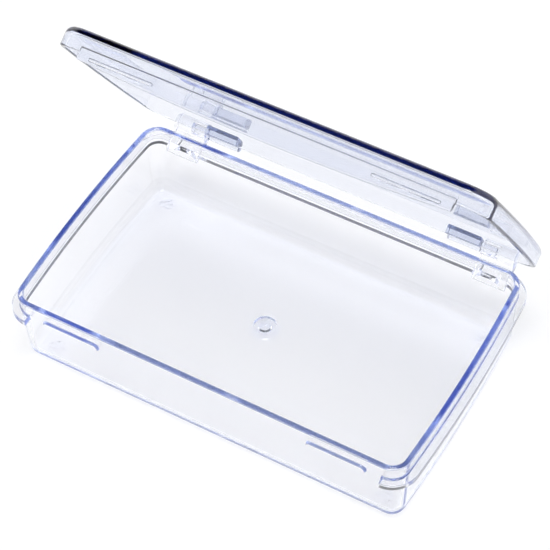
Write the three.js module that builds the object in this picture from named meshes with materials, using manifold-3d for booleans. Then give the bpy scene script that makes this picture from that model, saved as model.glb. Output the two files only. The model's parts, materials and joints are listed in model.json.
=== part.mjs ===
// Pick holder: a small clear box made of two mouldings, a tray and a lid.
// The lid turns on two short pins behind the back wall and stands partly open.
// Millimetres, +Z up. Origin: middle of the tray's flat underside. The hinge is on the +Y side.
import * as THREE from 'three';
import { mergeVertices } from 'three/addons/utils/BufferGeometryUtils.js';
import Module from 'manifold-3d';

const wasm = await Module();
wasm.setup();

// ---- tray ----
const TRAY_X = 90.0;          // lip length at the corners
const TRAY_Y = 55.4;          // lip depth
const TRAY_H = 19.2;          // underside to lip
const BOW = 1.1;              // how far each short side bulges at its middle
const WALL = 1.2;
const FLOOR = 1.4;
const LIP_H = 3.2;            // lip above the ledge
const LIP_R = 3.8;            // plan radius of the corners
const DRAFT = 0.9;            // how far the walls lean in from the lip down to the underside
const BASE_R = 3.0;           // outer radius along the underside
const INNER_R = 2.2;          // inner radius along the floor
const LEDGE_OUT = 1.6;
const LEDGE_T = 1.6;
const LEDGE_EDGE = 0.15;
const LEDGE_END_X = 41.0;     // where the ledge stops on the front
const LEDGE_Z = TRAY_H - LIP_H;

// ---- lid, drawn closed ----
const SEAT_GAP = 0.3;
const LID_GAP = 0.35;         // between skirt and lip
const PLATE = 1.3;
const LID_R = 5.4;
const LID_TOP_R = 1.7;
const LID_INNER_R = 0.5;
const RIM_Z = LEDGE_Z + SEAT_GAP;
const LID_TOP = TRAY_H + SEAT_GAP + PLATE;
const LID_X = TRAY_X + 2 * LEDGE_OUT;
const LID_Y = TRAY_Y + 2 * LEDGE_OUT;
const SKIRT = LEDGE_OUT - LID_GAP;
const TAB_X = 40.5;           // half length of the front tab
const TAB_T = 0.95;
const TAB_END = 6.1;          // tab depth below the lid top at its ends
const TAB_MID = 7.35;         // and at its middle
const RELIEF_Z = RIM_Z + 1.0; // the skirt behind the tab is thinned up to here
const LID_OPEN = 58.9;        // degrees open in the rest pose

// ---- snap ribs on the tray and grooves in the tab ----
const SNAP_X = 30.8;
const SNAP_LEN = 13.4;
const SNAP_Z = TRAY_H - 3.7;
const RIB_OUT = 0.38;         // beyond the lip's front face
const RIB_HALF = 1.2;
const RIB_EDGE = 0.25;
const GROOVE_DEEP = 0.3;
const GROOVE_HALF = 0.35;
const GROOVE_LEN = 15.0;

// ---- hinge ----
const AXIS_Y = 32.25;
const AXIS_Z = 17.0;
const PIN_R = 0.75;
const SOCKET_R = 1.1;
const LUG_X0 = 25.3;
const LUG_X1 = 33.05;
const PIN_END = 36.6;
const LUG_R = 1.25;
const LUG_FOOT = 1.4;         // length of the lug's flat underside in front of the axis
const BLOCK_X0 = 33.4;
const BLOCK_X1 = 41.0;
const BLOCK_R = 1.9;
const BLOCK_FOOT_Z = 12.7;
const SOCKET_END = 37.0;
const ARCH_X = 36.7;
const ARCH_HALF = 2.9;
const ARCH_H = 1.8;

// ---- gate mark on the floor ----
const GATE = [-2.8, 2.5];
const GATE_R = 2.7;
const GATE_DEEP = 0.25;
const NUB_R = 1.2;

const CORNER_STEPS = 8;
const SIDE_STEPS = 6;
const ROUND_STEPS = 20;
const BEYOND = 5;             // how far a cutting body reaches past what it cuts

// ---- from three.js geometry to solid bodies and back ----
function solid(geometry) {
  geometry.deleteAttribute('normal');
  geometry.deleteAttribute('uv');
  const merged = mergeVertices(geometry);
  const vertProperties = merged.attributes.position.array;
  const triVerts = new Uint32Array(merged.index.array);
  return new wasm.Manifold(new wasm.Mesh({ numProp: 3, vertProperties, triVerts }));
}

function toMesh(name, body, colour) {
  const { vertProperties, triVerts } = body.getMesh();
  const geometry = new THREE.BufferGeometry();
  geometry.setAttribute('position', new THREE.BufferAttribute(vertProperties, 3));
  geometry.setIndex(new THREE.BufferAttribute(triVerts, 1));
  geometry.computeVertexNormals();
  const material = new THREE.MeshStandardMaterial({
    color: colour, roughness: 0.05, metalness: 0, transparent: true, opacity: 0.35, flatShading: true });
  const mesh = new THREE.Mesh(geometry, material);
  mesh.name = name;
  return mesh;
}

// ---- basic bodies ----
function box(x0, x1, y0, y1, z0, z1) {
  const geometry = new THREE.BoxGeometry(x1 - x0, y1 - y0, z1 - z0);
  return solid(geometry.translate((x0 + x1) / 2, (y0 + y1) / 2, (z0 + z1) / 2));
}

// A shape drawn in (y, z), carried from x0 to x1.
function alongX(shape, x0, x1) {
  const options = { depth: Math.abs(x1 - x0), bevelEnabled: false, curveSegments: ROUND_STEPS };
  const geometry = new THREE.ExtrudeGeometry(shape, options);
  return solid(geometry.rotateX(Math.PI / 2).rotateZ(Math.PI / 2).translate(Math.min(x0, x1), 0, 0));
}

// A shape drawn in (x, z), carried from y0 up to y1, with its edges at y0 rounded off.
function alongY(shape, y0, y1, edge = 0) {
  const options = {
    depth: y1 - y0 - 2 * edge, curveSegments: ROUND_STEPS, bevelEnabled: edge > 0,
    bevelThickness: edge, bevelSize: edge, bevelOffset: -edge, bevelSegments: 3 };
  const geometry = new THREE.ExtrudeGeometry(shape, options);
  return solid(geometry.rotateX(Math.PI / 2).translate(0, y1 - edge, 0));
}

function rodX(radius, x0, x1, y, z) {
  const geometry = new THREE.CylinderGeometry(radius, radius, Math.abs(x1 - x0), ROUND_STEPS);
  return solid(geometry.rotateZ(Math.PI / 2).translate((x0 + x1) / 2, y, z));
}

function disc(radius, x, y, z0, z1) {
  const geometry = new THREE.CylinderGeometry(radius, radius, z1 - z0, 2 * ROUND_STEPS);
  return solid(geometry.rotateX(Math.PI / 2).translate(x, y, (z0 + z1) / 2));
}

// The box's plan outline: a rounded rectangle whose short sides bulge outwards.
// x is multiplied by 1 + BOW / halfX * (1 - (y / halfY)^2).
function outline(halfX, halfY, radius) {
  const points = [];
  for (let quarter = 0; quarter < 4; quarter++) {
    const sx = quarter === 0 || quarter === 3 ? 1 : -1;
    const sy = quarter < 2 ? 1 : -1;
    for (let k = 0; k <= CORNER_STEPS; k++) {
      const a = (Math.PI / 2) * (quarter + k / CORNER_STEPS);
      points.push([sx * (halfX - radius) + radius * Math.cos(a), sy * (halfY - radius) + radius * Math.sin(a)]);
    }
    if (sx === sy) continue;
    const [x, y] = points[points.length - 1];
    for (let k = 1; k < SIDE_STEPS; k++) {
      points.push([x, y * (1 - (2 * k) / SIDE_STEPS)]);
    }
  }
  return points.map(([x, y]) => {
    const bulge = (BOW / halfX) * (1 - (y / halfY) ** 2);
    return new THREE.Vector2(x * (1 + bulge), y);
  });
}

// A block of that outline from z0 up to z1, its upper and lower edges rounded by edge.
function slabGeometry(halfX, halfY, radius, z0, z1, edge) {
  const options = {
    depth: z1 - z0 - 2 * edge, bevelEnabled: edge > 0, bevelThickness: edge, bevelSize: edge,
    bevelOffset: -edge, bevelSegments: 5 };
  const shape = new THREE.Shape(outline(halfX, halfY, radius));
  return new THREE.ExtrudeGeometry(shape, options).translate(0, 0, z0 + edge);
}

function slab(halfX, halfY, radius, z0, z1, edge = 0) {
  return solid(slabGeometry(halfX, halfY, radius, z0, z1, edge));
}

// Draws a geometry in towards the middle, by DRAFT at the underside and not at all at the lip.
function drafted(geometry) {
  const points = geometry.attributes.position;
  for (let i = 0; i < points.count; i++) {
    const inset = DRAFT * (1 - points.getZ(i) / TRAY_H);
    points.setX(i, points.getX(i) * (1 - inset / (TRAY_X / 2)));
    points.setY(i, points.getY(i) * (1 - inset / (TRAY_Y / 2)));
  }
  return geometry;
}

// ---- tray ----
function trayBowl() {
  const halfX = TRAY_X / 2;
  const halfY = TRAY_Y / 2;
  const above = TRAY_H + BEYOND;
  const outer = solid(drafted(slabGeometry(halfX, halfY, LIP_R, 0, above, BASE_R)));
  const inner = solid(drafted(
    slabGeometry(halfX - WALL, halfY - WALL, LIP_R - WALL, FLOOR, above + BEYOND, INNER_R)));
  return outer.subtract(box(-TRAY_X, TRAY_X, -TRAY_Y, TRAY_Y, TRAY_H, above + BEYOND)).subtract(inner);
}

// The ledge the lid's skirt sits on: left, back and right, and round both front corners.
function ledge() {
  const halfX = TRAY_X / 2;
  const halfY = TRAY_Y / 2;
  const z0 = LEDGE_Z - LEDGE_T;
  const outer = slab(halfX + LEDGE_OUT, halfY + LEDGE_OUT, LIP_R + LEDGE_OUT, z0, LEDGE_Z, LEDGE_EDGE);
  const inner = slab(halfX - WALL / 2, halfY - WALL / 2, LIP_R - WALL / 2, z0 - 1, LEDGE_Z + 1);
  const front = box(-LEDGE_END_X, LEDGE_END_X, -TRAY_Y, -TRAY_Y / 4, 0, TRAY_H);
  return outer.subtract(inner).subtract(front);
}

// A socket block behind the back wall: a knuckle on a gusset with an arched hollow beneath.
function socketBlock(side) {
  const wallY = TRAY_Y / 2 - WALL / 2;
  const shape = new THREE.Shape();
  shape.moveTo(wallY, BLOCK_FOOT_Z);
  shape.lineTo(TRAY_Y / 2, BLOCK_FOOT_Z);
  shape.absarc(AXIS_Y, AXIS_Z, BLOCK_R, THREE.MathUtils.degToRad(-70), Math.PI, false);
  shape.lineTo(AXIS_Y - BLOCK_R, LEDGE_Z);
  shape.lineTo(wallY, LEDGE_Z);
  const body = alongX(shape, side * BLOCK_X0, side * BLOCK_X1);
  const hole = rodX(SOCKET_R, side * (BLOCK_X0 - BEYOND), side * SOCKET_END, AXIS_Y, AXIS_Z);
  const arch = new THREE.Shape();
  arch.moveTo(side * ARCH_X - ARCH_HALF, BLOCK_FOOT_Z - BEYOND);
  arch.lineTo(side * ARCH_X + ARCH_HALF, BLOCK_FOOT_Z - BEYOND);
  arch.absellipse(side * ARCH_X, BLOCK_FOOT_Z, ARCH_HALF, ARCH_H, 0, Math.PI, false, 0);
  return body.subtract(hole).subtract(alongY(arch, TRAY_Y / 2 + 0.1, AXIS_Y + BEYOND));
}

// A bar with round ends, drawn in (x, z).
function barShape(x, z, halfLength, radius) {
  const shape = new THREE.Shape();
  shape.absarc(x + halfLength - radius, z, radius, -Math.PI / 2, Math.PI / 2, false);
  shape.absarc(x - halfLength + radius, z, radius, Math.PI / 2, 1.5 * Math.PI, false);
  return shape;
}

function snapRib(side) {
  const bar = barShape(side * SNAP_X, SNAP_Z, SNAP_LEN / 2, RIB_HALF);
  return alongY(bar, -TRAY_Y / 2 - RIB_OUT, -TRAY_Y / 2 + WALL / 2, RIB_EDGE);
}

function tray() {
  let body = trayBowl().add(ledge());
  for (const side of [-1, 1]) {
    body = body.add(socketBlock(side)).add(snapRib(side));
  }
  const [x, y] = GATE;
  body = body.subtract(disc(GATE_R, x, y, FLOOR - GATE_DEEP, FLOOR + 1));
  return body.add(disc(NUB_R, x, y, FLOOR - 2 * GATE_DEEP, FLOOR));
}

// ---- lid ----
function lidShell() {
  const halfX = LID_X / 2;
  const halfY = LID_Y / 2;
  const below = RIM_Z - BEYOND;
  const outer = slab(halfX, halfY, LID_R, below, LID_TOP, LID_TOP_R);
  const inner = slab(
    halfX - SKIRT, halfY - SKIRT, LID_R - SKIRT, below - BEYOND, LID_TOP - PLATE, LID_INNER_R);
  return outer.subtract(box(-LID_X, LID_X, -LID_Y, LID_Y, below - BEYOND, RIM_Z)).subtract(inner);
}

// The deeper part of the front skirt, with a gently curved lower edge.
function frontTab() {
  const shape = new THREE.Shape();
  shape.moveTo(TAB_X, RELIEF_Z);
  shape.lineTo(-TAB_X, RELIEF_Z);
  shape.lineTo(-TAB_X, LID_TOP - TAB_END);
  // The curve's control point lies twice as deep as its middle.
  shape.quadraticCurveTo(0, LID_TOP - 2 * TAB_MID + TAB_END, TAB_X, LID_TOP - TAB_END);
  return alongY(shape, -LID_Y / 2, -LID_Y / 2 + TAB_T);
}

// A narrow groove in the tab, level with the middle of the tray's rib when the lid is shut.
function snapGroove(side) {
  const bar = barShape(side * SNAP_X, SNAP_Z, GROOVE_LEN / 2, GROOVE_HALF);
  const faceY = -LID_Y / 2 + TAB_T;
  return alongY(bar, faceY - GROOVE_DEEP, faceY + BEYOND);
}

// A hinge lug on the back of the skirt, with its pin pointing outwards along X.
function lug(side) {
  const rootY = LID_Y / 2 - WALL / 2;
  const shape = new THREE.Shape();
  shape.moveTo(rootY, RIM_Z + 0.1);
  shape.lineTo(AXIS_Y - LUG_FOOT, RIM_Z + 0.1);
  shape.absarc(AXIS_Y, AXIS_Z, LUG_R, THREE.MathUtils.degToRad(-130), Math.PI / 2, false);
  shape.lineTo(rootY, AXIS_Z + LUG_R + 0.15);
  const body = alongX(shape, side * LUG_X0, side * LUG_X1);
  return body.add(rodX(PIN_R, side * (LUG_X1 - 0.5), side * PIN_END, AXIS_Y, AXIS_Z));
}

function lid() {
  const faceY = -LID_Y / 2 + TAB_T;
  const relief = box(-TAB_X, TAB_X, faceY, -TRAY_Y / 2 + WALL, RIM_Z - 1, RELIEF_Z);
  let body = lidShell().subtract(relief).add(frontTab());
  for (const side of [-1, 1]) {
    body = body.subtract(snapGroove(side)).add(lug(side));
  }
  return body;
}

// ---- the box, with its lid turned back about the hinge line ----
const trayMesh = toMesh('tray', tray(), 0xe6e9f4);

const lidMesh = toMesh('lid', lid(), 0xe2e6f4);
lidMesh.position.set(0, -AXIS_Y, -AXIS_Z);
const hinge = new THREE.Group();
hinge.position.set(0, AXIS_Y, AXIS_Z);
hinge.rotation.x = -THREE.MathUtils.degToRad(LID_OPEN);
hinge.add(lidMesh);

const pickHolder = new THREE.Group();
pickHolder.add(trayMesh, hinge);

export default pickHolder;
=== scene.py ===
"""Pick holder: a small clear box with a hinged lid, on a pale floor.

The tray and the lid are each one closed surface worked out with numpy: a profile through the wall is
carried round a rounded rectangle, and what changes on the way round (the ledge, the front tab, the
snap ribs) is a change in that profile. The hinge parts are short solids joined on.
"""
import json
import bpy
import numpy as np
from mathutils import Matrix, Vector


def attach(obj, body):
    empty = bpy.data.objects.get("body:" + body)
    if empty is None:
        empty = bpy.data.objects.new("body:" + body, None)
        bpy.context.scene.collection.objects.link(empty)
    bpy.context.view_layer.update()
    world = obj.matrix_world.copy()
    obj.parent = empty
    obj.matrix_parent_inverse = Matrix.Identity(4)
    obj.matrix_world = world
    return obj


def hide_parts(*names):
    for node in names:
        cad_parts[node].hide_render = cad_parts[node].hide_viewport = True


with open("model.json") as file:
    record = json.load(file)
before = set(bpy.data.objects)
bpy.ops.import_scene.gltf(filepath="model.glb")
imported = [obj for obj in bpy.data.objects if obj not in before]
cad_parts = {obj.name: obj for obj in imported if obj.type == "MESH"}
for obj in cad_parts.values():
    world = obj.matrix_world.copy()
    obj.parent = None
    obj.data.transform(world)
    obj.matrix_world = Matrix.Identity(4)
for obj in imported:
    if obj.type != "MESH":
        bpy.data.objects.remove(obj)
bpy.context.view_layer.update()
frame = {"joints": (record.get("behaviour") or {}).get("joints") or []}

MM = 0.001

# ---- the box's own sizes, in millimetres ----
HALF_X, HALF_Y = 45.0, 27.7          # lip, at the corners
BOW = 1.1                            # bulge of the short sides
LIP_R = 3.8
TRAY_H = 19.2
WALL = 1.2
FLOOR = 1.4
LIP_H = 3.2
LEDGE_OUT, LEDGE_T = 1.6, 1.6
LEDGE_Z = TRAY_H - LIP_H
DRAFT = 0.9
BASE_R = 3.0
INNER_R = 2.2
LEDGE_EDGE_R, LIP_EDGE_R = 0.15, 0.25
SEAT_GAP = 0.3
PLATE = 1.3
RIM_Z = LEDGE_Z + SEAT_GAP
LID_TOP = TRAY_H + SEAT_GAP + PLATE
LID_X, LID_Y = HALF_X + LEDGE_OUT, HALF_Y + LEDGE_OUT
LID_R = 5.4
LID_TOP_R = 1.7
CEILING_R, RIM_IN_R, RIM_OUT_R = 0.5, 0.35, 0.42
SKIRT = 1.25
TAB_T = 0.95
TAB_END, TAB_MID = 6.1, 7.35
RELIEF_Z = RIM_Z + 1.0                # the skirt behind the tab is thinned up to here
TAB_X = 40.5
LEDGE_END_X = 41.0                   # where the ledge stops on the front
SNAP_X, SNAP_LEN = 30.8, 13.4
SNAP_Z = TRAY_H - 3.7
RIB_OUT, RIB_HALF = 0.57, 1.2
GROOVE_DEEP, GROOVE_HALF = 0.3, 0.35
RIB_EDGE_R = 0.25                    # rounding of the sides of ribs and grooves
GATE = (-2.8, 2.5)
GATE_DIP, GATE_NUB, NUB_DIP = 0.35, 0.5, 0.2
GATE_R, NUB_R, NUB_DIP_R = 2.5, 1.4, 0.6
MIDDLE_INSET = 10                    # inset at which the profiles end, on the floor and the plate
LUG_X0, LUG_X1, LUG_R = 25.3, 33.05, 1.25
BLOCK_X0, BLOCK_X1, BLOCK_R = 33.4, 41.0, 1.9
BLOCK_FOOT_Z = 12.7
SOCKET_R, SOCKET_END = 0.95, 37.0
PIN_R, PIN_END = 0.75, 36.6
ARCH_X, ARCH_HALF, ARCH_H = 36.7, 2.9, 1.8
BLOCK_SOFT, LUG_SOFT, PIN_SOFT = 0.2, 0.2, 0.15

# ---- plastic ----
FROST_X, FROST_Y, FROST_R, FROST_FADE = 39.0, 22.0, 2.2, 0.4
IOR = 1.59
SURFACE_TINT = (0.985, 0.985, 0.992, 1)
TRAY_TINT, TRAY_DENSITY, TRAY_RIPPLE = (0.3, 0.45, 0.88, 1), 14.0, 0.008
LID_TINT, LID_DENSITY, LID_RIPPLE = (0.03, 0.18, 0.58, 1), 90.0, 0.002

# ---- studio ----
FLOOR_HALF, FLOOR_DROP = 1.6, 0.00005  # metres
OPENING = (-0.322, 0.527, 0.787)      # direction of the dark opening in the dome
DOME_STRENGTH = 1.22
OVERHEAD_FROM, OVERHEAD_SLOPE, OVERHEAD_GAIN = 0.975, 60, 6
CAMERA_TURN, CAMERA_RISE, CAMERA_ROLL = 31.4, 51.87, 2.36
CAMERA_AIM, CAMERA_AWAY, LENS = (-4.36, 9.98, 9.6), 475.1, 147.06
CLEAR_BOUNCES, DIFFUSE_BOUNCES = 100, 8

hinge = frame["joints"][0]
AXIS_Y, AXIS_Z = (v / MM for v in hinge["pos_m"][1:])
OPEN_DEG = -hinge["range_deg"][0]    # the rest pose stands this far from closed


# ---------------------------------------------------------------- surfaces
def stations(front, back, side, arc):
    """Places round the rounded rectangle, counter-clockwise from +X.

    Each place is (sx, sy, nx, ny). Its point on a rectangle of half sizes hx, hy and corner radius r
    is (sx (hx - r) + r nx, sy (hy - r) + r ny). Along a side sx or sy runs from -1 to 1 and the
    normal stays; round a corner sx, sy stay and the normal turns.
    """
    corners = [(1, 1), (-1, 1), (-1, -1), (1, -1)]
    runs = [back, side, front, side]
    parts = []
    for q, (corner, run) in enumerate(zip(corners, runs)):
        turn = np.radians(90 * q + np.linspace(0, 90, arc + 1))
        ones = np.ones(arc + 1)
        parts.append(np.stack([corner[0] * ones, corner[1] * ones, np.cos(turn), np.sin(turn)]))
        following = corners[(q + 1) % 4]
        t = run[1:-1]
        ones = np.ones(t.size)
        parts.append(np.stack([
            corner[0] + (following[0] - corner[0]) * t, corner[1] + (following[1] - corner[1]) * t,
            np.round(np.cos(turn[-1])) * ones, np.round(np.sin(turn[-1])) * ones]))
    return np.concatenate(parts, axis=1)


def rings(place, half_x, half_y, radius, inset, z):
    """Rings of points: the rectangle of each row shrunk by its inset, at its height, then bowed.

    x is multiplied by 1 + BOW / LID_X (1 - (y / half_y)^2), which bulges the short sides.
    inset and z are (rows, places) arrays.
    """
    sx, sy, nx, ny = place
    r = np.maximum(radius - inset, 0.25 * radius)
    x = sx * (half_x - inset - r) + r * nx
    y = sy * (half_y - inset - r) + r * ny
    x = x * (1 + BOW / LID_X * (1 - np.minimum(1, (y / half_y) ** 2)))
    return np.stack([x, y, z + 0 * x], axis=-1)


def profile(points, radii, counts):
    """A polyline with rounded corners: each corner is an arc of its radius, tangent to both legs."""
    points = np.array(points, float)
    out = [points[:1]]
    for k in range(1, len(points) - 1):
        a, b, c = points[k - 1:k + 2]
        u = (a - b) / np.linalg.norm(a - b)
        w = (c - b) / np.linalg.norm(c - b)
        half = 0.5 * np.arccos(np.clip(u @ w, -1, 1))
        centre = b + (u + w) / np.linalg.norm(u + w) * radii[k] / np.sin(half)
        start = b + u * radii[k] / np.tan(half) - centre
        stop = b + w * radii[k] / np.tan(half) - centre
        t = np.linspace(0, 1, counts[k] + 1)[:, None]
        sweep = np.pi - 2 * half
        arc = (np.sin((1 - t) * sweep) * start + np.sin(t * sweep) * stop) / np.sin(sweep)
        out.append(centre + arc)
    out.append(points[-1:])
    return out


def shrink(ring, middle, steps):
    """Rings from one ring to a point: each is the ring drawn in towards the middle."""
    t = np.array(steps)[:, None, None]
    return ring * (1 - t) + np.array(middle) * t


def closed_mesh(name, grid, start, end):
    """A mesh over a grid of rings, closed by a point at each end, all faces outwards."""
    rows, n = grid.shape[:2]
    verts = np.concatenate([grid.reshape(-1, 3), [start], [end]]) * MM
    r, i = np.meshgrid(np.arange(rows - 1), np.arange(n), indexing="ij")
    a = r * n + i
    b = r * n + (i + 1) % n
    quads = np.stack([a, b, b + n, a + n], axis=-1).reshape(-1, 4)
    i = np.arange(n)
    j = (i + 1) % n
    first = np.stack([j, i, np.full(n, rows * n)], axis=-1)
    last = np.stack([(rows - 1) * n + i, (rows - 1) * n + j, np.full(n, rows * n + 1)], axis=-1)
    return put_mesh(name, verts, quads, np.concatenate([first, last]))


def put_mesh(name, verts, quads, tris):
    """A smooth-shaded object from points in metres and faces of four and of three points."""
    mesh = bpy.data.meshes.new(name)
    loops = np.concatenate([quads.ravel(), tris.ravel()]).astype(np.int32)
    starts = np.concatenate([np.arange(len(quads)) * 4, 4 * len(quads) + np.arange(len(tris)) * 3])
    mesh.vertices.add(len(verts))
    mesh.loops.add(len(loops))
    mesh.polygons.add(len(starts))
    mesh.vertices.foreach_set("co", verts.astype(np.float32).ravel())
    mesh.loops.foreach_set("vertex_index", loops)
    mesh.polygons.foreach_set("loop_start", starts.astype(np.int32))
    mesh.polygons.foreach_set("use_smooth", np.ones(len(starts), bool))
    mesh.update(calc_edges=True)
    mesh.validate()
    obj = bpy.data.objects.new(name, mesh)
    bpy.context.scene.collection.objects.link(obj)
    return obj


# ---------------------------------------------------------------- tray
def step(x, edge, width):
    """0 well below the edge, 1 well above it, smooth in between."""
    t = np.clip((x - edge) / width + 0.5, 0, 1)
    return t * t * (3 - 2 * t)


def bead_height(x, z, centre_x, centre_z, half_len, half_z):
    """1 on top of a bar with round ends, 0 off it, with steep sides.

    The distance inside the bar's outline is half_z less the distance to its middle line. The height
    is a quarter circle over the first RIB_EDGE_R of it, or up to the middle line where that is less.
    """
    beyond = np.maximum(0, np.abs(x - centre_x) - half_len + half_z)
    inside = half_z - np.hypot(beyond, z - centre_z)
    return np.sqrt(1 - (1 - np.clip(inside / min(RIB_EDGE_R, half_z), 0, 1)) ** 2)


def drafted(z):
    """Inset of the tray's outer wall: DRAFT at the base, falling evenly to 0 at the lip."""
    return DRAFT * (1 - z / TRAY_H)


def tray_profiles():
    """The wall's profile with the ledge, the flush one for the front, and which rows are outside.

    Both are (inset, z) rows of equal number. The flush one spreads the ledge's rows over the height
    of the snap ribs and follows the drafted wall.
    """
    under = LEDGE_Z - LEDGE_T
    corners = [(MIDDLE_INSET - 1, 0), (DRAFT, 0), (drafted(under), under), (-LEDGE_OUT, under),
               (-LEDGE_OUT, LEDGE_Z), (drafted(LEDGE_Z), LEDGE_Z), (0, TRAY_H), (WALL, TRAY_H),
               (WALL + drafted(FLOOR), FLOOR), (MIDDLE_INSET, FLOOR)]
    radii = [0, BASE_R, *[LEDGE_EDGE_R] * 4, *[LIP_EDGE_R] * 2, INNER_R, 0]
    counts = [0, 12, 5, 5, 5, 5, 6, 6, 16, 0]
    parts = profile(corners, radii, counts)
    base = np.concatenate([parts[0], parts[0] * [0.6, 1] + [0.4 * parts[1][0, 0], 0], parts[1]])
    wall = parts[1][-1] + (parts[2][0] - parts[1][-1]) * np.array([0.05, 0.35, 0.7, 0.95])[:, None]
    shelf = np.concatenate([parts[2], parts[3], parts[4], parts[5]])
    rise = np.concatenate([parts[5][-1:] + (parts[6][0] - parts[5][-1]) * t for t in (0.15, 0.5, 0.9)])
    lip = np.concatenate([parts[6], parts[7]])
    down = parts[7][-1] + (parts[8][0] - parts[7][-1]) * np.array([0.03, 0.3, 0.6, 0.9, 0.98])[:, None]
    floor = np.concatenate([parts[8], parts[8][-1:] + [[0.3, 0]], parts[9]])
    side = np.concatenate([base, wall, shelf, rise, lip, down, floor])
    flush = side.copy()
    k0 = len(base) + len(wall)
    k1 = k0 + len(shelf)
    k2 = k1 + len(rise)
    spare, clear = RIB_HALF + 0.25, 0.3
    z_front = np.linspace(SNAP_Z - spare, SNAP_Z + spare, k1 - k0)
    flush[len(base):k0, 1] = np.linspace(parts[1][-1][1] + clear, z_front[0] - clear, len(wall))
    flush[k0:k1, 1] = z_front
    flush[k1:k2, 1] = z_front[-1] + (TRAY_H - clear - z_front[-1]) * np.array([0.2, 0.5, 0.9])
    flush[len(base):k2, 0] = drafted(flush[len(base):k2, 1])
    outside = np.arange(len(side)) < len(side) - len(floor) - len(down) - len(parts[7])
    return side, flush, outside[:, None]


def tray_surface():
    """Up the outside, out along the ledge, over the lip, down the inside and across the floor.

    The two profiles are blended round the tray, with the flush one between the ledge's ends on the
    front. There the ribs push the wall out by RIB_OUT times the bead height.
    """
    side, flush, outside = tray_profiles()
    flat = HALF_X - LIP_R
    ends = np.array([SNAP_X - SNAP_LEN / 2, SNAP_X + SNAP_LEN / 2])
    fine = np.concatenate([e + np.linspace(-1.3, 0.1, 14) * s for e, s in zip(ends, (-1, 1))])
    edge = np.array([-0.15, 0, 0.1])
    xs = np.concatenate([np.linspace(-flat, flat, 50), fine, -fine, LEDGE_END_X + edge, -LEDGE_END_X - edge])
    front = (np.unique(np.round(xs, 4)) + flat) / (2 * flat)
    place = stations(front, np.linspace(0, 1, 41), np.linspace(0, 1, 25), 14)
    sx, sy, nx, ny = place
    on_front = (ny < -0.999)
    shelf_on = 1 - on_front * (1 - step(np.abs(sx) * flat, LEDGE_END_X, 0.2))
    inset = flush[:, :1] + (side[:, :1] - flush[:, :1]) * shelf_on
    z = flush[:, 1:] + (side[:, 1:] - flush[:, 1:]) * shelf_on
    ribs = sum(bead_height(sx * flat, z, s * SNAP_X, SNAP_Z, SNAP_LEN / 2, RIB_HALF) for s in (-1, 1))
    inset = inset - RIB_OUT * ribs * on_front * outside
    grid = rings(place, HALF_X, HALF_Y, LIP_R, inset, z)
    inner, gate_point = gate_rings(grid[-1])
    outer = shrink(grid[0], (0, 0, 0), (0.96, 0.75, 0.5, 0.25))
    return closed_mesh("tray_moulding", np.concatenate([outer, grid, inner]), (0, 0, 0), gate_point)


def gate_rings(ring):
    """Rings from the floor's outermost ring in to the gate mark, and the point at its middle.

    The first rings turn the floor's outline into a circle round the mark. Inside it the height is
    a sum of three smooth steps of the radius: a dish, a nub raised in it, and a dip on the nub.
    """
    gate = np.array([*GATE, FLOOR])
    around = ring - gate
    circle = around / np.linalg.norm(around[:, :2], axis=1, keepdims=True)
    inner = [ring + (gate + circle * 6 - ring) * t for t in (0.3, 0.6, 0.85, 1.0)]
    radii = np.concatenate([
        [3.4, 3.0], np.linspace(2.9, 2.1, 15), np.linspace(1.9, 0.9, 15), [0.6, 0.3, 0.1]])
    height = (-GATE_DIP * step(-radii, -GATE_R, 0.3) + GATE_NUB * step(-radii, -NUB_R, 0.35)
              - NUB_DIP * step(-radii, -NUB_DIP_R, 0.9))
    inner += [gate + circle * r + [0, 0, h] for r, h in zip(radii, height)]
    return np.array(inner), gate + [0, 0, height[-1]]


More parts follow.
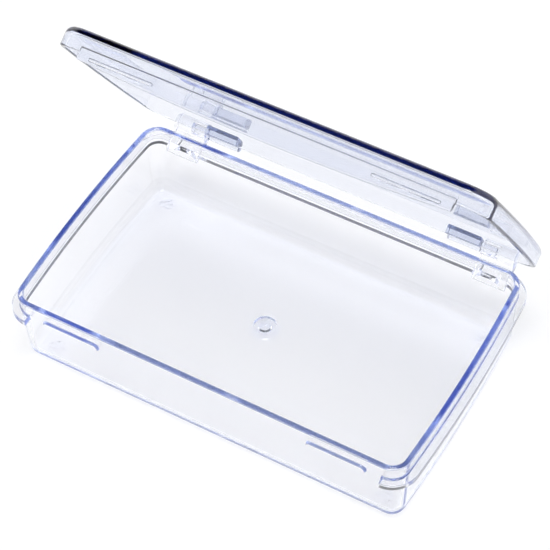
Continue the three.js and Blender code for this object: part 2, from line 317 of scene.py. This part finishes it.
# ---------------------------------------------------------------- lid
def lid_surface():
    """Under the plate, down inside the skirt, round its rim and up the outside, drawn closed.

    Along the front the rim drops to z = LID_TOP - depth, where depth runs as a parabola from TAB_END
    at the tab's ends to TAB_MID at its middle. The skirt thins to TAB_T below RELIEF_Z, and two
    grooves are cut in it by GROOVE_DEEP times the bead height.
    """
    under = LID_TOP - PLATE
    corners = [(MIDDLE_INSET, under), (SKIRT, under), (SKIRT, RIM_Z), (0, RIM_Z), (0, LID_TOP),
               (MIDDLE_INSET, LID_TOP)]
    radii = [0, CEILING_R, RIM_IN_R, RIM_OUT_R, LID_TOP_R, 0]
    counts = [0, 8, 5, 6, 14, 0]
    parts = profile(corners, radii, counts)
    inside = parts[1][-1] + (parts[2][0] - parts[1][-1]) * np.linspace(0.05, 0.97, 80)[:, None]
    rim = np.concatenate([parts[2], parts[3]])
    outside = parts[3][-1] + (parts[4][0] - parts[3][-1]) * np.array([0.05, 0.5, 0.9])[:, None]
    ceiling = np.concatenate([parts[0], parts[1][:1] + [[0.3, 0]], parts[1]])
    roof = np.concatenate([parts[4], parts[4][-1:] + [[0.3, 0]], parts[5]])
    plain = np.concatenate([ceiling, inside, rim, outside, roof])
    k0, k1 = len(ceiling), len(ceiling) + len(inside)
    k2 = k1 + len(rim)

    flat = LID_X - LID_R
    ends = np.array([SNAP_X - SNAP_LEN / 2 - 0.5, SNAP_X + SNAP_LEN / 2 + 0.5])
    fine = np.concatenate([e + np.linspace(-0.9, 0.2, 12) * s for e, s in zip(ends, (-1, 1))])
    edge = TAB_X + np.array([-0.2, -0.1, -0.05, 0, 0.05, 0.1, 0.2])
    xs = np.concatenate([np.linspace(-flat, flat, 70), fine, -fine, edge, -edge])
    front = (np.unique(np.round(xs, 4)) + flat) / (2 * flat)
    place = stations(front, np.linspace(0, 1, 41), np.linspace(0, 1, 25), 16)
    sx, sy, nx, ny = place
    x = sx * flat
    tab = (ny < -0.999) * (1 - step(np.abs(x), TAB_X, 0.25))
    drop = (TAB_MID + (TAB_END - TAB_MID) * (x / TAB_X) ** 2 - (LID_TOP - RIM_Z)) * tab

    inset = np.repeat(plain[:, :1], x.size, axis=1)
    z = np.repeat(plain[:, 1:], x.size, axis=1)
    share = np.zeros((len(plain), 1))
    share[k0:k1, 0] = np.linspace(0.02, 0.98, k1 - k0)
    share[k1:k2, 0] = 1
    share[k2:k2 + 3, 0] = [0.9, 0.5, 0.1]
    z = z - share * drop
    thin = step(RELIEF_Z - z[k0:k2], 0, 0.6) * tab
    inset[k0:k2] = np.where(inset[k0:k2] > 0.6, inset[k0:k2] - (SKIRT - TAB_T) * thin, inset[k0:k2])
    zi = z[k0:k1]
    grooves = sum(bead_height(x, zi, s * SNAP_X, SNAP_Z, SNAP_LEN / 2 + 0.5, GROOVE_HALF) for s in (-1, 1))
    inset[k0:k1] -= GROOVE_DEEP * grooves * (ny < -0.999)
    grid = rings(place, LID_X, LID_Y, LID_R, inset, z)
    low = shrink(grid[0], (0, 0, under), (0.96, 0.75, 0.5, 0.25))
    high = shrink(grid[-1], (0, 0, LID_TOP), (0.25, 0.5, 0.75, 0.96))
    grid = np.concatenate([low, grid, high])
    return closed_mesh("lid_moulding", grid, (0, 0, under), (0, 0, LID_TOP))


# ---------------------------------------------------------------- hinge parts
def arc(cy, cz, radius, start, stop, count):
    """Points on an arc in (y, z): centre plus radius times (cos, sin)."""
    a = np.radians(np.linspace(start, stop, count))
    return np.stack([cy + radius * np.cos(a), cz + radius * np.sin(a)], axis=1)


def bar_along_x(name, shape, x0, x1, middle=None):
    """A flat (y, z) outline carried from x0 to x1 and closed by a point at each end.

    That point must see the whole outline. It is the mean of the outline unless middle is given.
    """
    x0, x1 = min(x0, x1), max(x0, x1)
    xs = np.array([x0, x1])
    grid = np.stack([np.concatenate([np.full((len(shape), 1), x), shape], axis=1) for x in xs])
    middle = shape.mean(axis=0) if middle is None else middle
    return closed_mesh(name, grid, (x0, *middle), (x1, *middle))


def tunnel_along_y(name, shape, y0, y1):
    """A flat (x, z) outline, clockwise seen from the front, carried from y0 to y1."""
    grid = np.stack([np.stack([shape[:, 0], np.full(len(shape), y), shape[:, 1]], axis=1) for y in (y0, y1)])
    middle = shape.mean(axis=0)
    return closed_mesh(name, grid, (middle[0], y0, middle[1]), (middle[0], y1, middle[1]))


def combine(target, tool, operation):
    """Joins or cuts two closed meshes and keeps the result in the target's mesh."""
    mod = target.modifiers.new("combine", "BOOLEAN")
    mod.object = tool
    mod.operation = operation
    mod.solver = "EXACT"
    keep_result(target)
    bpy.data.objects.remove(tool)


def keep_result(obj):
    """Writes the object's modifiers into its mesh."""
    graph = bpy.context.evaluated_depsgraph_get()
    made = bpy.data.meshes.new_from_object(obj.evaluated_get(graph))
    old = obj.data
    obj.modifiers.clear()
    obj.data = made
    bpy.data.meshes.remove(old)


def soften(obj, width):
    """Rounds the hard edges of a small solid."""
    mod = obj.modifiers.new("edges", "BEVEL")
    mod.width = width * MM
    mod.segments = 3
    mod.limit_method = "ANGLE"
    mod.angle_limit = np.radians(35)
    keep_result(obj)


def socket_block(side):
    """A block behind the back wall, round at the top, with a blind socket and an arched hollow."""
    wall_y = HALF_Y - WALL / 2
    shape = np.concatenate([
        [(wall_y, BLOCK_FOOT_Z), (HALF_Y, BLOCK_FOOT_Z)],
        arc(AXIS_Y, AXIS_Z, BLOCK_R, -70, 180, 36),
        [(AXIS_Y - BLOCK_R, LEDGE_Z), (wall_y, LEDGE_Z)]])
    inner_corner = (AXIS_Y - BLOCK_R + 0.15, LEDGE_Z - 1)
    block = bar_along_x("block", shape, side * BLOCK_X0, side * BLOCK_X1, inner_corner)
    soften(block, BLOCK_SOFT)
    hole = bar_along_x("hole", arc(AXIS_Y, AXIS_Z, SOCKET_R, 0, 350, 36),
                       side * (BLOCK_X0 - 1), side * SOCKET_END)
    combine(block, hole, "DIFFERENCE")
    mid = side * ARCH_X
    low = BLOCK_FOOT_Z - 3
    curve = arc(0, 0, 1, 0, 180, 32) * [ARCH_HALF, ARCH_H] + [mid, BLOCK_FOOT_Z]
    arch = np.concatenate([curve, [(mid - ARCH_HALF, low), (mid + ARCH_HALF, low)]])
    tunnel = tunnel_along_y("tunnel", arch[::-1], HALF_Y + 0.1, AXIS_Y + 4)
    combine(block, tunnel, "DIFFERENCE")
    return block


def hinge_lug(side):
    """A lug on the lid's back edge, with the pin that turns in the tray's socket."""
    root = LID_Y - 0.3
    shape = np.concatenate([
        [(root, RIM_Z + 0.1), (AXIS_Y - 1.4, RIM_Z + 0.1)],
        arc(AXIS_Y, AXIS_Z, LUG_R, -130, 90, 30),
        [(root, AXIS_Z + LUG_R + 0.15)]])
    body = bar_along_x("lug", shape, side * LUG_X0, side * LUG_X1)
    soften(body, LUG_SOFT)
    pin = bar_along_x("pin", arc(AXIS_Y, AXIS_Z, PIN_R, 0, 348, 30), side * (LUG_X1 - 0.5), side * PIN_END)
    soften(pin, PIN_SOFT)
    combine(body, pin, "UNION")
    return body


def finish_edges(obj):
    """Smooth shading in which the flat faces stay flat and only the small radii bend the light."""
    mesh = obj.data
    mesh.polygons.foreach_set("use_smooth", np.ones(len(mesh.polygons), bool))
    mesh.set_sharp_from_angle(angle=np.radians(32))
    mod = obj.modifiers.new("normals", "WEIGHTED_NORMAL")
    mod.mode = "FACE_AREA"
    mod.weight = 100
    mod.keep_sharp = True
    keep_result(obj)


def make_tray():
    """The tray moulding with both socket blocks, in place of the CAD tray."""
    tray = tray_surface()
    for side in (-1, 1):
        combine(tray, socket_block(side), "UNION")
    finish_edges(tray)
    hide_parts("tray")
    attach(tray, "tray")
    return tray


def make_lid():
    """The lid moulding with both lugs, built shut and then turned open about the hinge axis."""
    lid = lid_surface()
    for side in (-1, 1):
        combine(lid, hinge_lug(side), "UNION")
    axis = Vector((0, AXIS_Y, AXIS_Z)) * MM
    opened = Matrix.Rotation(-np.radians(OPEN_DEG), 4, "X")
    lid.data.transform(Matrix.Translation(axis) @ opened @ Matrix.Translation(-axis))
    finish_edges(lid)
    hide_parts("lid")
    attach(lid, "lid")
    return lid


# ---------------------------------------------------------------- materials
class Socket:
    """A shader socket with arithmetic: each operator adds the Math node it stands for."""

    def __init__(self, graph, socket):
        self.graph, self.socket = graph, socket

    def math(self, operation, *others, flip=False):
        values = (self, *others)
        if flip:
            values = values[::-1]
        return self.graph.node("ShaderNodeMath", {"operation": operation}, dict(enumerate(values)))

    def __add__(self, other): return self.math("ADD", other)
    def __radd__(self, other): return self.math("ADD", other)
    def __sub__(self, other): return self.math("SUBTRACT", other)
    def __rsub__(self, other): return self.math("SUBTRACT", other, flip=True)
    def __mul__(self, other): return self.math("MULTIPLY", other)
    def __rmul__(self, other): return self.math("MULTIPLY", other)
    def __truediv__(self, other): return self.math("DIVIDE", other)

    def clamp(self):
        return self.graph.node("ShaderNodeClamp", {}, {"Value": self})


class Graph:
    """The node tree of a material, or of the world."""

    def __init__(self, owner):
        self.owner = owner
        owner.use_nodes = True
        self.tree = owner.node_tree
        self.tree.nodes.clear()

    def node(self, kind, settings=None, inputs=None, output=0):
        made = self.tree.nodes.new(kind)
        for key, value in (settings or {}).items():
            if key == "stops":
                ramp = made.color_ramp
                while len(ramp.elements) < len(value):
                    ramp.elements.new(0.5)
                for element, (at, colour) in zip(ramp.elements, value):
                    element.position, element.color = at, colour
            else:
                setattr(made, key, value)
        for key, value in (inputs or {}).items():
            if isinstance(value, Socket):
                self.tree.links.new(value.socket, made.inputs[key])
            else:
                made.inputs[key].default_value = value
        return Socket(self, made.outputs[output]) if made.outputs else None


def clear_plastic(name, tint, density, ripple_strength):
    """Polished clear plastic: faint moulding ripple, and a frosted patch in each floor corner.

    Light is absorbed along its way through the solid, so thick stretches and edges show the tint.
    """
    g = Graph(bpy.data.materials.new(name))
    where = g.node("ShaderNodeTexCoord", output="Object")
    ripple = g.node("ShaderNodeTexNoise", {}, {"Vector": where, "Scale": 60.0, "Detail": 2.0})
    grain = g.node("ShaderNodeTexNoise", {}, {"Vector": where, "Scale": 900.0, "Detail": 4.0})
    frost = frosted_corners(g, where)
    bump = g.node("ShaderNodeBump", {}, {"Height": ripple, "Strength": ripple_strength, "Distance": 0.001})
    etched = g.node("ShaderNodeBump", {}, {
        "Height": (grain - 0.5) * frost, "Strength": 0.6, "Distance": 0.0006, "Normal": bump})
    shader = g.node("ShaderNodeBsdfPrincipled", {}, {
        "Base Color": SURFACE_TINT, "Roughness": 0.004 + 0.012 * grain + 0.2 * frost,
        "IOR": IOR, "Transmission Weight": 1.0, "Normal": etched})
    depth = g.node("ShaderNodeVolumeAbsorption", {}, {"Color": tint, "Density": density})
    g.node("ShaderNodeOutputMaterial", {}, {"Surface": shader, "Volume": depth})
    return g.owner


def frosted_corners(g, where):
    """1 inside four small round patches on the tray's floor, near its corners, 0 elsewhere.

    The place is folded into one quarter with absolute values, and its distance to the patch's
    centre is compared with the patch's radius.
    """
    folded = g.node("ShaderNodeVectorMath", {"operation": "ABSOLUTE"}, {0: where})
    centre = (FROST_X * MM, FROST_Y * MM, 0.5 * FLOOR * MM)
    away = g.node("ShaderNodeVectorMath", {"operation": "DISTANCE"}, {0: folded, 1: centre}, output=1)
    return ((FROST_R * MM - away) / (FROST_FADE * MM)).clamp()


# ---------------------------------------------------------------- floor, light, camera
def make_floor():
    """A plain pale sheet just under the tray."""
    g = Graph(bpy.data.materials.new("paper"))
    where = g.node("ShaderNodeTexCoord", output="Object")
    fibre = g.node("ShaderNodeTexNoise", {}, {"Vector": where, "Scale": 400.0, "Detail": 5.0})
    bump = g.node("ShaderNodeBump", {}, {"Height": fibre, "Strength": 0.02, "Distance": 0.0005})
    shader = g.node("ShaderNodeBsdfPrincipled", {}, {
        "Base Color": (0.93, 0.93, 0.93, 1), "Roughness": 0.85 + 0.1 * fibre, "Normal": bump,
        "Specular IOR Level": 0.2})
    g.node("ShaderNodeOutputMaterial", {}, {"Surface": shader})
    verts = np.array([(-1, -1, 0), (1, -1, 0), (1, 1, 0), (-1, 1, 0)]) * FLOOR_HALF
    floor = put_mesh("floor", verts, np.array([[0, 1, 2, 3]]), np.zeros((0, 3), int))
    floor.data.materials.append(g.owner)
    floor.location.z = -FLOOR_DROP


def make_light():
    """A white dome, brighter overhead, with one dark opening high up at the back.

    The level undersides of the ledge and of the hinge blocks mirror that opening, so they look dark.
    """
    world = bpy.data.worlds.new("studio")
    bpy.context.scene.world = world
    g = Graph(world)
    where = g.node("ShaderNodeTexCoord", output="Generated")
    towards = g.node("ShaderNodeVectorMath", {"operation": "DOT_PRODUCT"}, {0: where, 1: OPENING}, output=1)
    dark, white = (0.012, 0.013, 0.02, 1), (1, 1, 1, 1)
    dome = g.node("ShaderNodeValToRGB", {"stops": [(0.0, white), (0.80, white), (0.88, dark), (1.0, dark)]},
                  {"Fac": towards})
    height = g.node("ShaderNodeSeparateXYZ", {}, {"Vector": where}, output="Z")
    overhead = ((height - OVERHEAD_FROM) * OVERHEAD_SLOPE).clamp() * OVERHEAD_GAIN
    light = g.node("ShaderNodeBackground", {}, {"Color": dome, "Strength": DOME_STRENGTH * (1 + overhead)})
    g.node("ShaderNodeOutputWorld", {}, {"Surface": light})


def make_camera():
    """A long lens above the front, turned and raised by its angles and rolled about its own axis."""
    data = bpy.data.cameras.new("camera")
    camera = bpy.data.objects.new("camera", data)
    bpy.context.scene.collection.objects.link(camera)
    azimuth, elevation, roll = np.radians([CAMERA_TURN, CAMERA_RISE, CAMERA_ROLL])
    aim = Vector(CAMERA_AIM) * MM
    level = np.cos(elevation)
    back = Vector((np.sin(azimuth) * level, -np.cos(azimuth) * level, np.sin(elevation)))
    side = Vector((0, 0, 1)).cross(back).normalized()
    up = back.cross(side)
    side, up = side * np.cos(roll) - up * np.sin(roll), up * np.cos(roll) + side * np.sin(roll)
    facing = Matrix((side, up, back)).transposed().to_4x4()
    camera.matrix_world = Matrix.Translation(aim + back * CAMERA_AWAY * MM) @ facing
    data.sensor_width = 36
    data.lens = LENS
    data.clip_start = 0.01
    bpy.context.scene.camera = camera


def set_light_paths():
    """Enough bounces for light to leave the plastic: mirroring inside it counts as glossy."""
    scene = bpy.context.scene
    scene.view_settings.view_transform = "Standard"
    scene.cycles.max_bounces = CLEAR_BOUNCES
    scene.cycles.transmission_bounces = CLEAR_BOUNCES
    scene.cycles.glossy_bounces = CLEAR_BOUNCES
    scene.cycles.diffuse_bounces = DIFFUSE_BOUNCES
    scene.cycles.blur_glossy = 0.0


def give_plastic(obj, plastic):
    obj.data.materials.clear()
    obj.data.materials.append(plastic)


make_camera()
tray = make_tray()
lid = make_lid()
give_plastic(tray, clear_plastic("tray_plastic", TRAY_TINT, TRAY_DENSITY, TRAY_RIPPLE))
give_plastic(lid, clear_plastic("lid_plastic", LID_TINT, LID_DENSITY, LID_RIPPLE))
make_floor()
make_light()
set_light_paths()
